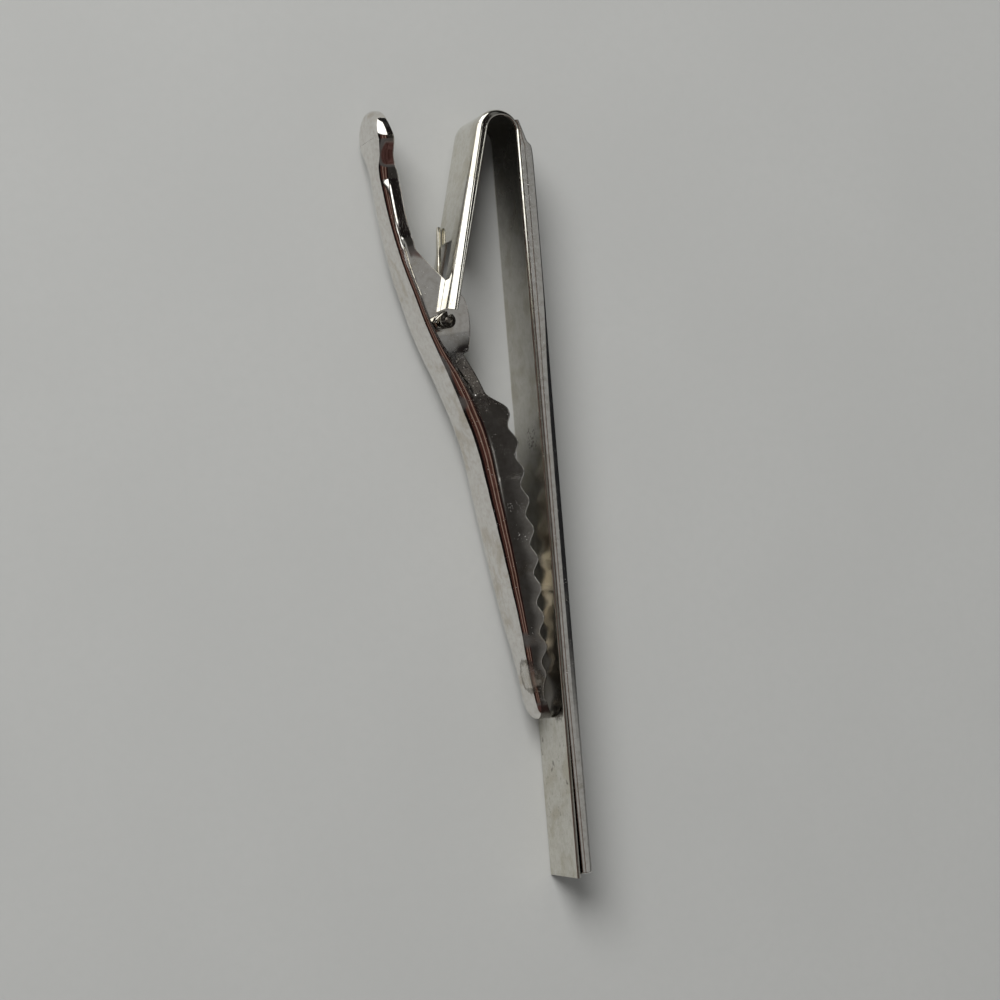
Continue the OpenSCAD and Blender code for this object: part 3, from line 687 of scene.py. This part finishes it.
def make_spring():
    """The whole wire: the leg on the arm, the coil round the pin, and the leg inside the lever."""
    seat = WIRE_D / 2 + WIRE_GAP
    z0 = MID_Z - EAR_HALF + LEVER_T + seat

    def leg_angle(reach, hand):
        d = math.hypot(*reach)
        return math.atan2(reach[1], reach[0]) + hand * math.atan2(COIL_R, math.sqrt(d * d - COIL_R ** 2))

    fixed = tuple(-ARM_DIR[k] * LEG_RISE - ARM_IN[k] * (PIN_INSET + seat) for k in (0, 1))
    free_y = PIN[1] + FREE_RISE
    free = (back_x(free_y) + LEVER_T + seat - PIN[0], free_y - PIN[1])
    start = leg_angle(fixed, 1) - math.pi / 2
    end = leg_angle(free, -1) + math.pi / 2 - 2 * math.pi * COIL_TURNS
    rise = COIL_PITCH * (start - end) / (2 * math.pi)

    def coil(a):
        return (PIN[0] + COIL_R * math.cos(a), PIN[1] + COIL_R * math.sin(a),
                z0 + COIL_PITCH * (start - a) / (2 * math.pi))

    bend = (PIN[0] + fixed[0], PIN[1] + fixed[1], z0)
    tail = math.radians(TAIL_ANGLE)
    tail_dir = (-ARM_DIR[0] * math.cos(tail), -ARM_DIR[1] * math.cos(tail), -math.sin(tail))
    first = coil(start)
    rise_dir = unit(tuple(bend[k] - first[k] for k in range(3)))
    path = [tuple(bend[k] + tail_dir[k] * mix(LEG_TAIL, WIRE_D, t / 10) for k in range(3)) for t in range(10)]
    for t in (i / 8 for i in range(9)):
        path.append(tuple(bend[k] + WIRE_D * (tail_dir[k] * (1 - t) ** 2 - rise_dir[k] * t * t)
                          for k in range(3)))
    low = path[-1]
    path += [tuple(mix(low[k], first[k], t / 12) for k in range(3)) for t in range(1, 12)]
    coil_n = 96
    path += [coil(mix(start, end, k / coil_n)) for k in range(coil_n + 1)]
    last = path[-1]
    free_end = (PIN[0] + free[0], PIN[1] + free[1], z0 + rise)
    path += [tuple(mix(last[k], free_end[k], t / 16) for k in range(3)) for t in range(1, 17)]

    rows = []
    for i, p in enumerate(path):
        a, b = path[max(i - 1, 0)], path[min(i + 1, len(path) - 1)]
        t = Vector(unit(tuple(b[k] - a[k] for k in range(3))))
        u = Vector((0, 0, 1)).cross(t).normalized()
        v = t.cross(u)
        r = WIRE_D / 2 * (0.86 if i in (0, len(path) - 1) else 1.0)
        turns = [2 * math.pi * k / WIRE_SIDES for k in range(WIRE_SIDES)]
        rows.append([tuple(Vector(p) + (u * math.cos(a) + v * math.sin(a)) * r) for a in turns])
    faces = tube(rows) + [cap(rows, 0), cap(rows, len(rows) - 1)]
    wire = new_piece("spring_wire", all_points(rows), faces, None,
                     ["torsion_spring", "spring_free_leg"])
    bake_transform(wire)
    return wire


lever = make_lever()
strip = make_strip()
knuckles = make_knuckles()
bar = make_bar()
pin = make_pin()
spring = make_spring()


# Materials

class Graph:
    """A short way to write a node tree."""

    def __init__(self, tree):
        self.tree = tree
        tree.nodes.clear()

    def feed(self, socket, value):
        """Links a socket to another one, or sets its value; three numbers are a colour where four are due."""
        if isinstance(value, bpy.types.NodeSocket):
            self.tree.links.new(value, socket)
        elif socket.type == "RGBA" and len(value) == 3:
            socket.default_value = (*value, 1.0)
        else:
            socket.default_value = value

    def node(self, kind, inputs=None, **settings):
        made = self.tree.nodes.new(kind)
        for key, value in settings.items():
            setattr(made, key, value)
        for key, value in (inputs or {}).items():
            self.feed(made.inputs[key], value)
        return made

    def math(self, operation, a, b=0.0, clamp=False):
        return self.node("ShaderNodeMath", {0: a, 1: b}, operation=operation, use_clamp=clamp).outputs[0]

    def noise(self, vector, scale, detail=3.0, rough=0.55, distortion=0.0):
        return self.node("ShaderNodeTexNoise", {"Vector": vector, "Scale": scale, "Detail": detail,
                                                "Roughness": rough, "Distortion": distortion}).outputs["Fac"]

    def stretch(self, vector, scale, turn=(0.0, 0.0, 0.0)):
        return self.node("ShaderNodeMapping", {"Vector": vector, "Scale": scale, "Rotation": turn}).outputs[0]

    def ramp(self, fac, low, high, a=0.0, b=1.0):
        """From a to b, with soft ends, as the value goes from low to high."""
        return self.node("ShaderNodeMapRange", {"Value": fac, "From Min": low, "From Max": high,
                                                "To Min": a, "To Max": b},
                         interpolation_type="SMOOTHSTEP").outputs[0]

    def between(self, value, rise, fall, top=1.0):
        """Up over the first span of the value, and down from top over the second."""
        return self.math("MULTIPLY", self.ramp(value, *rise), self.ramp(value, *fall, top, 0.0))

    def attribute(self, name):
        return self.node("ShaderNodeAttribute", attribute_name=name).outputs["Fac"]

    def blend(self, fac, a, b):
        made = self.node("ShaderNodeMix", data_type="RGBA", blend_type="MIX")
        for key, value in (("Factor_Float", fac), ("A_Color", a), ("B_Color", b)):
            self.feed(next(s for s in made.inputs if s.identifier == key), value)
        return next(s for s in made.outputs if s.identifier == "Result_Color")


def new_graph(name):
    """A material with a plain surface, its graph, and the place in the part's frame in mm."""
    material = bpy.data.materials.new(name)
    material.use_nodes = True
    graph = Graph(material.node_tree)
    surface = graph.node("ShaderNodeBsdfPrincipled")
    output = graph.node("ShaderNodeOutputMaterial")
    graph.tree.links.new(surface.outputs[0], output.inputs["Surface"])
    point = graph.node("ShaderNodeTexCoord").outputs["Object"]
    millimetres = graph.stretch(point, (1000.0, 1000.0, 1000.0))
    return material, graph, surface, millimetres


TARNISH_SPAN, MOTTLE_DARK = 0.22, 0.8
SPECK, SPECK_ROUGH, LINE_ROUGH = (0.07, 0.06, 0.05), 0.35, 0.04
SCRATCH_D, PIT_D = 0.0008, 0.015


def plated_metal(name, plate, tarnish, tarnish_low, rough_low, rough_high, wave, specks=0.5, marks=None):
    """Plated sheet with cloudy tarnish, specks and fine lines; marks adds what belongs to one piece."""
    material, graph, surface, at = new_graph(name)
    clouds = graph.noise(at, 0.35, 5.0, 0.6, 0.4)
    stain = graph.ramp(clouds, tarnish_low, tarnish_low + TARNISH_SPAN)
    mottle = graph.ramp(graph.noise(at, 2.2, 4.0, 0.65), 0.35, 0.75, 0.0, 0.45)
    colour = graph.blend(stain, plate, tarnish)
    colour = graph.blend(mottle, colour, tuple(MOTTLE_DARK * c for c in tarnish))
    speck = graph.math("MULTIPLY", graph.ramp(graph.noise(at, 7.0, 2.0, 0.5), 0.66, 0.72),
                       graph.ramp(graph.noise(at, 0.8, 2.0), 0.5, 0.62))
    colour = graph.blend(graph.math("MULTIPLY", speck, specks), colour, SPECK)
    along = graph.stretch(at, (9.0, 0.5, 9.0))
    lines = graph.noise(along, 1.6, 4.0, 0.7)
    rough = graph.ramp(clouds, 0.35, 0.7, rough_low, rough_high)
    rough = graph.math("ADD", rough, graph.ramp(lines, 0.45, 0.8, 0.0, LINE_ROUGH))
    rough = graph.math("ADD", rough, graph.math("MULTIPLY", speck, SPECK_ROUGH), clamp=True)
    slow = graph.noise(graph.stretch(at, (1.0, 0.45, 1.0)), 0.45, 2.0, 0.4)
    bump = graph.node("ShaderNodeBump", {"Height": slow, "Strength": 1.0, "Distance": wave * MM})
    bump = graph.node("ShaderNodeBump", {"Height": lines, "Strength": 0.5, "Distance": SCRATCH_D * MM,
                                         "Normal": bump.outputs[0]})
    pits = graph.node("ShaderNodeBump", {"Height": speck, "Strength": 0.6, "Distance": -PIT_D * specks * MM,
                                         "Normal": bump.outputs[0]})
    if marks:
        colour, rough = marks(graph, at, colour, rough)
    for key, value in (("Base Color", colour), ("Metallic", 1.0), ("Roughness", rough),
                       ("Normal", pits.outputs[0])):
        graph.feed(surface.inputs[key], value)
    return material


# The first colour is painted shade on the inner faces towards the bend
INSIDE_SHADE, STRIP_DIRT, SOOT = (0.1, 0.09, 0.07), (0.09, 0.07, 0.055), (0.03, 0.026, 0.022)
# Spans along the strip, in mm of the part's frame, where each mark and each band of painted shade comes in
# and goes out
BEND_SHADE_Y, BROAD_SHADE_Y = (18.0, 30.0), (-6.0, 6.0)
FLECK_Y, FLECK_Z = ((3.1, 3.6), (4.8, 5.3)), ((2.6, 3.2), (4.6, 5.2))
SMEAR_Y, DASH_Y = ((-17.0, -16.4), (-13.5, -3.0)), ((-28.0, -26.0), (-20.5, -19.0))


def strip_marks(graph, at, colour, rough):
    """Soot on the rolled ends, and the inner faces: painted shade that makes them darker towards the bend,
    with flecks, a smear and dashes.
    """
    x, y, z = graph.node("ShaderNodeSeparateXYZ", {0: at}).outputs
    inside, soot = graph.attribute("inside"), graph.attribute("soot")
    ragged = graph.math("ADD", y, graph.math("MULTIPLY", graph.noise(at, 0.9, 4.0, 0.6), 5.0))
    # Painted shade: the inner faces in the V darker towards the bend, strongest next to it and weaker over a
    # broad span
    bend_shade = graph.math("MULTIPLY", inside, graph.ramp(ragged, *BEND_SHADE_Y, 0.0, 0.8))
    broad_shade = graph.math("MULTIPLY", inside, graph.ramp(ragged, *BROAD_SHADE_Y, 0.0, 0.3))
    colour = graph.blend(graph.math("MAXIMUM", bend_shade, broad_shade), colour, INSIDE_SHADE)
    rough = graph.math("ADD", rough, graph.math("MULTIPLY", inside, 0.1))
    rough = graph.math("ADD", rough, graph.math("MULTIPLY", bend_shade, 0.12))
    fleck = graph.math("MULTIPLY", graph.ramp(graph.noise(at, 4.5, 3.0, 0.6), 0.52, 0.6),
                       graph.between(y, *FLECK_Y))
    fleck = graph.math("MULTIPLY", fleck, graph.between(z, *FLECK_Z))
    smear = graph.math("ADD", y, graph.math("MULTIPLY", graph.noise(at, 1.1, 4.0, 0.65), 3.5))
    smear = graph.math("MULTIPLY", graph.between(smear, *SMEAR_Y), 0.8)
    dash = graph.noise(graph.stretch(at, (1.0, 0.6, 1.0)), 2.2, 3.0)
    dash = graph.math("MULTIPLY", graph.ramp(dash, 0.62, 0.68), graph.between(y, *DASH_Y, 0.7))
    dark_marks = graph.math("MAXIMUM", graph.math("MAXIMUM", fleck, dash), smear)
    colour = graph.blend(graph.math("MULTIPLY", inside, dark_marks), colour, STRIP_DIRT)
    black = graph.math("MULTIPLY", soot, graph.ramp(graph.noise(at, 5.0, 3.0), 0.3, 0.5, 0.75, 1.0))
    colour = graph.blend(black, colour, SOOT)
    rough = graph.math("ADD", rough, graph.math("MULTIPLY", black, 0.35), clamp=True)
    return colour, rough


# The first colour darkens the dirt at the jaw's start and by the tip, and is also the painted shade along the
# crease by the ears
LEVER_DIRT_AND_SHADE, GRAIN = (0.055, 0.045, 0.038), (0.7, 0.67, 0.6)
WORN_RING, WORN_INNER = (0.16, 0.14, 0.11), (0.5, 0.47, 0.4)
JAW_START_Y, NEAR_TIP_Y = ((7.6, 9.4), (12.4, 13.4)), (-16.4, -14.6)
# The middle of the worn spot, and the distances from it at which its ring and its inside change
WORN_AT, WORN_R, WORN_INNER_R = (3.0, -15.2, 4.0), ((1.75, 1.95), (2.05, 2.3)), (1.85, 2.05)


def lever_marks(graph, at, colour, rough):
    """The rough, pitted start of the jaw's walls, dirt by the tip, painted shade along the crease by the
    ears, and the worn spot.
    """
    y = graph.node("ShaderNodeSeparateXYZ", {0: at}).outputs["Y"]
    wall = graph.attribute("wall")
    ragged = graph.math("ADD", y, graph.math("MULTIPLY", graph.noise(at, 1.5, 4.0, 0.6), 3.0))
    jaw_start = graph.math("MULTIPLY", wall, graph.between(ragged, *JAW_START_Y))
    grit = graph.noise(at, 6.0, 4.0, 0.75)
    dark_marks = graph.math("MULTIPLY", jaw_start, graph.ramp(grit, 0.56, 0.62, 1.0, 0.0))
    near_tip = graph.math("MULTIPLY", wall, graph.ramp(ragged, *NEAR_TIP_Y, 0.85, 0.0))
    # Painted shade along the crease by the ears, mottled a little by the grit
    crease_shade = graph.math("MULTIPLY", graph.attribute("crease_shade"), graph.ramp(grit, 0.4, 0.6, 1.0, 0.75))
    # The dirt and the painted shade of the crease together darken the colour
    dark_marks = graph.math("MAXIMUM", dark_marks, graph.math("MAXIMUM", near_tip, crease_shade))
    colour = graph.blend(graph.math("MULTIPLY", dark_marks, 0.92), colour, LEVER_DIRT_AND_SHADE)
    rough = graph.math("ADD", rough, graph.math("MULTIPLY", dark_marks, 0.28))
    grain = graph.math("MULTIPLY", jaw_start, graph.ramp(graph.noise(at, 7.0, 3.0, 0.7), 0.62, 0.67))
    colour = graph.blend(graph.math("MULTIPLY", grain, 0.8), colour, GRAIN)
    rough = graph.math("ADD", rough, graph.math("MULTIPLY", grain, 0.25))
    spot = graph.node("ShaderNodeVectorMath", {0: at, 1: WORN_AT}, operation="DISTANCE").outputs["Value"]
    spot = graph.math("ADD", spot, graph.math("MULTIPLY", graph.noise(at, 1.6, 4.0, 0.65), 1.6))
    ring = graph.between(spot, *WORN_R)
    inner = graph.ramp(spot, *WORN_INNER_R, 1.0, 0.0)
    colour = graph.blend(graph.math("MULTIPLY", ring, 0.75), colour, WORN_RING)
    colour = graph.blend(graph.math("MULTIPLY", inner, 0.35), colour, WORN_INNER)
    worn = graph.math("MULTIPLY", graph.math("MAXIMUM", ring, inner), 0.2)
    rough = graph.math("ADD", rough, worn, clamp=True)
    return colour, rough


# Each: plate, tarnish, where the tarnish begins in the noise, and the range of the roughness
lever_metal = plated_metal("lever_metal", (0.82, 0.80, 0.77), (0.62, 0.57, 0.49), 0.5, 0.03, 0.09,
                           wave=0.007, specks=0.2, marks=lever_marks)
strip_metal = plated_metal("strip_metal", (0.75, 0.735, 0.68), (0.6, 0.57, 0.48), 0.45, 0.05, 0.12,
                           wave=0.01, specks=0.9, marks=strip_marks)
bar_metal = plated_metal("bar_metal", (0.84, 0.83, 0.80), (0.66, 0.62, 0.54), 0.56, 0.05, 0.13, wave=0.008)
pin_metal = plated_metal("pin_metal", (0.28, 0.26, 0.23), (0.1, 0.09, 0.08), 0.45, 0.25, 0.45, wave=0.01)
wire_metal = plated_metal("wire_metal", (0.85, 0.81, 0.7), (0.5, 0.44, 0.32), 0.5, 0.15, 0.25, wave=0.004)


def dress(piece, material):
    piece.data.materials.clear()
    piece.data.materials.append(material)


dress(lever, lever_metal)
dress(strip, strip_metal)
for knuckle in knuckles:
    dress(knuckle, strip_metal)
dress(bar, bar_metal)
dress(pin, pin_metal)
dress(spring, wire_metal)

node_metal = {"front_bar": bar_metal, "clip_strip": strip_metal, "pivot_pin": pin_metal,
              "torsion_spring": wire_metal, "spring_free_leg": wire_metal, "jaw_lever": lever_metal}
for node_name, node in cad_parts.items():
    dress(node, node_metal[node_name])

# Floor, world and lamps

PAPER = (0.455, 0.457, 0.443)
FLOOR_HALF, FLOOR_DROP = 1.5, 0.00002

paper, graph, surface, at = new_graph("paper")
fibre = graph.noise(at, 1.1, 5.0, 0.6)
blotch = graph.noise(at, 0.06, 3.0, 0.5)
tone = graph.blend(graph.ramp(blotch, 0.3, 0.7, 0.0, 1.0), tuple(0.975 * c for c in PAPER), PAPER)
tone = graph.blend(graph.ramp(fibre, 0.35, 0.7, 0.0, 0.35), tone, tuple(0.95 * c for c in PAPER))
bump = graph.node("ShaderNodeBump", {"Height": fibre, "Strength": 0.12, "Distance": 0.05 * MM})
for key, value in (("Base Color", tone), ("Roughness", 0.85), ("Normal", bump.outputs[0])):
    graph.feed(surface.inputs[key], value)

floor_mesh = bpy.data.meshes.new("floor")
floor_mesh.from_pydata([(-FLOOR_HALF, -FLOOR_HALF, 0), (FLOOR_HALF, -FLOOR_HALF, 0),
                        (FLOOR_HALF, FLOOR_HALF, 0), (-FLOOR_HALF, FLOOR_HALF, 0)], [], [(0, 1, 2, 3)])
floor_mesh.materials.append(paper)
floor = bpy.data.objects.new("floor", floor_mesh)
floor.location = (0, 0, -FLOOR_DROP)
bpy.context.scene.collection.objects.link(floor)
floor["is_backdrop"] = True

world = bpy.data.worlds.new("studio")
bpy.context.scene.world = world
world.use_nodes = True
sky = Graph(world.node_tree)
direction = sky.node("ShaderNodeTexCoord").outputs["Generated"]
dx, dy, dz = sky.node("ShaderNodeSeparateXYZ", {0: direction}).outputs
# Angles in degrees from straight up: across the clip, towards the bar's face, and along it, towards the bend
across = sky.math("MULTIPLY", sky.math("ARCTAN2", dx, dz), 180 / math.pi)
along = sky.math("MULTIPLY", sky.math("ARCSINE", dy), 180 / math.pi)

NEAR_CEILING, CEILING, FAR_CEILING = (0.27, 0.268, 0.26), (0.19, 0.19, 0.187), (0.03, 0.03, 0.03)
LOW_DOWN, DARK_END, CUPBOARD = (0.02, 0.02, 0.02), (0.015, 0.015, 0.015), (0.015, 0.015, 0.016)
COAT, COAT_LIGHT, COAT_FOLD = (0.034, 0.014, 0.011), (0.095, 0.042, 0.034), (0.24, 0.17, 0.14)
BLACK, ABOVE_COAT, BELOW_COAT = (0.006, 0.004, 0.004), (0.008, 0.006, 0.006), (0.075, 0.07, 0.068)
BESIDE_COAT, PALE_EDGE = (0.03, 0.028, 0.026), (0.14, 0.136, 0.13)
LEANING, LEANING_LIGHT = (0.028, 0.01, 0.008), (0.085, 0.045, 0.04)
WINDOW_LIGHT, LAMP_LIGHT, PLAIN = (2.2, 2.2, 2.15), (2.3, 2.3, 2.25), (0.25, 0.25, 0.248)


def window(value, low, high, soft):
    """1 between two angles, with a soft edge."""
    return sky.between(value, (low - soft, low + soft), (high - soft, high + soft))


def patch(across_span, along_span):
    """1 in a block of directions; each span is from, to and softness."""
    return sky.math("MULTIPLY", window(across, *across_span), window(along, *along_span))


# Colours round the clip by direction, which its reflections alone see
ceiling = sky.blend(sky.ramp(along, 8, 12), NEAR_CEILING, CEILING)
ceiling = sky.blend(sky.ramp(along, 15, 45), ceiling, FAR_CEILING)
room = sky.blend(sky.ramp(dz, 0.03, 0.45), LOW_DOWN, ceiling)
wool = sky.noise(sky.stretch(direction, (14.0, 2.0, 5.0)), 1.3, 3.0, 0.6, 0.6)
person = sky.blend(sky.ramp(wool, 0.4, 0.62), COAT, COAT_LIGHT)
wander = sky.math("MULTIPLY", sky.noise(sky.stretch(direction, (1.0, 4.0, 1.0)), 1.5), 5.0)
bent = sky.math("ADD", across, wander)
for low, high in ((-50, -43), (-24, -17)):
    person = sky.blend(window(bent, low, high, 2.0), person, COAT_FOLD)
person = sky.blend(window(across, -100, -71, 3), person, BLACK)
person = sky.blend(window(across, -12, -3, 2), person, BLACK)
person = sky.blend(sky.ramp(across, -3, 0), person, BESIDE_COAT)
person = sky.blend(sky.ramp(across, 4, 12.5), person, PALE_EDGE)
person = sky.blend(sky.math("MULTIPLY", sky.ramp(along, 8.0, 8.8), 0.92), person, ABOVE_COAT)
person = sky.blend(sky.ramp(along, -27, -20, 1.0, 0.0), person, BELOW_COAT)
room = sky.blend(patch((-100, 12.4, 1.0), (-38, 46, 4)), room, person)
leaning = sky.blend(sky.ramp(wool, 0.35, 0.62), LEANING, LEANING_LIGHT)
room = sky.blend(patch((-100, 45, 8), (-88, -37, 4)), room, leaning)
room = sky.blend(patch((-87, -4, 3), (12, 68, 1.5)), room, WINDOW_LIGHT)
room = sky.blend(window(along, 71, 100, 2), room, DARK_END)
room = sky.blend(patch((20.5, 100, 0.8), (22, 100, 2)), room, DARK_END)
# The edge of this dark side leans away as it goes up
leans = sky.math("MULTIPLY", sky.math("MAXIMUM", sky.math("SUBTRACT", along, 3.5), 0.0), 4.0)
cupboard = sky.math("MULTIPLY", window(sky.math("SUBTRACT", across, leans), 31, 100, 1.5),
                    window(along, -1.5, 100, 1.2))
room = sky.blend(cupboard, room, CUPBOARD)
room = sky.blend(patch((6.5, 12.3, 0.6), (8.3, 14, 0.4)), room, LAMP_LIGHT)
rays = sky.node("ShaderNodeLightPath").outputs
seen = sky.blend(rays["Is Glossy Ray"], PLAIN, room)
seen = sky.blend(rays["Is Camera Ray"], seen, PAPER)
back = sky.node("ShaderNodeBackground", {"Color": seen, "Strength": 1.0})
out = sky.node("ShaderNodeOutputWorld")
sky.tree.links.new(back.outputs[0], out.inputs[0])

KEY_AT, KEY_SIZE, KEY_WATTS = (-0.27, 0.36, 0.48), 0.4, 4.3

key_data = bpy.data.lights.new("key", "AREA")
key_data.shape = "DISK"
key_data.size = KEY_SIZE
key_data.energy = KEY_WATTS
key_lamp = bpy.data.objects.new("key", key_data)
key_lamp.location = KEY_AT
key_lamp.rotation_euler = (-Vector(KEY_AT)).to_track_quat("-Z", "Y").to_euler()
key_lamp.visible_glossy = False
bpy.context.scene.collection.objects.link(key_lamp)

bpy.context.scene.view_settings.view_transform = "Standard"

low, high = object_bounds()
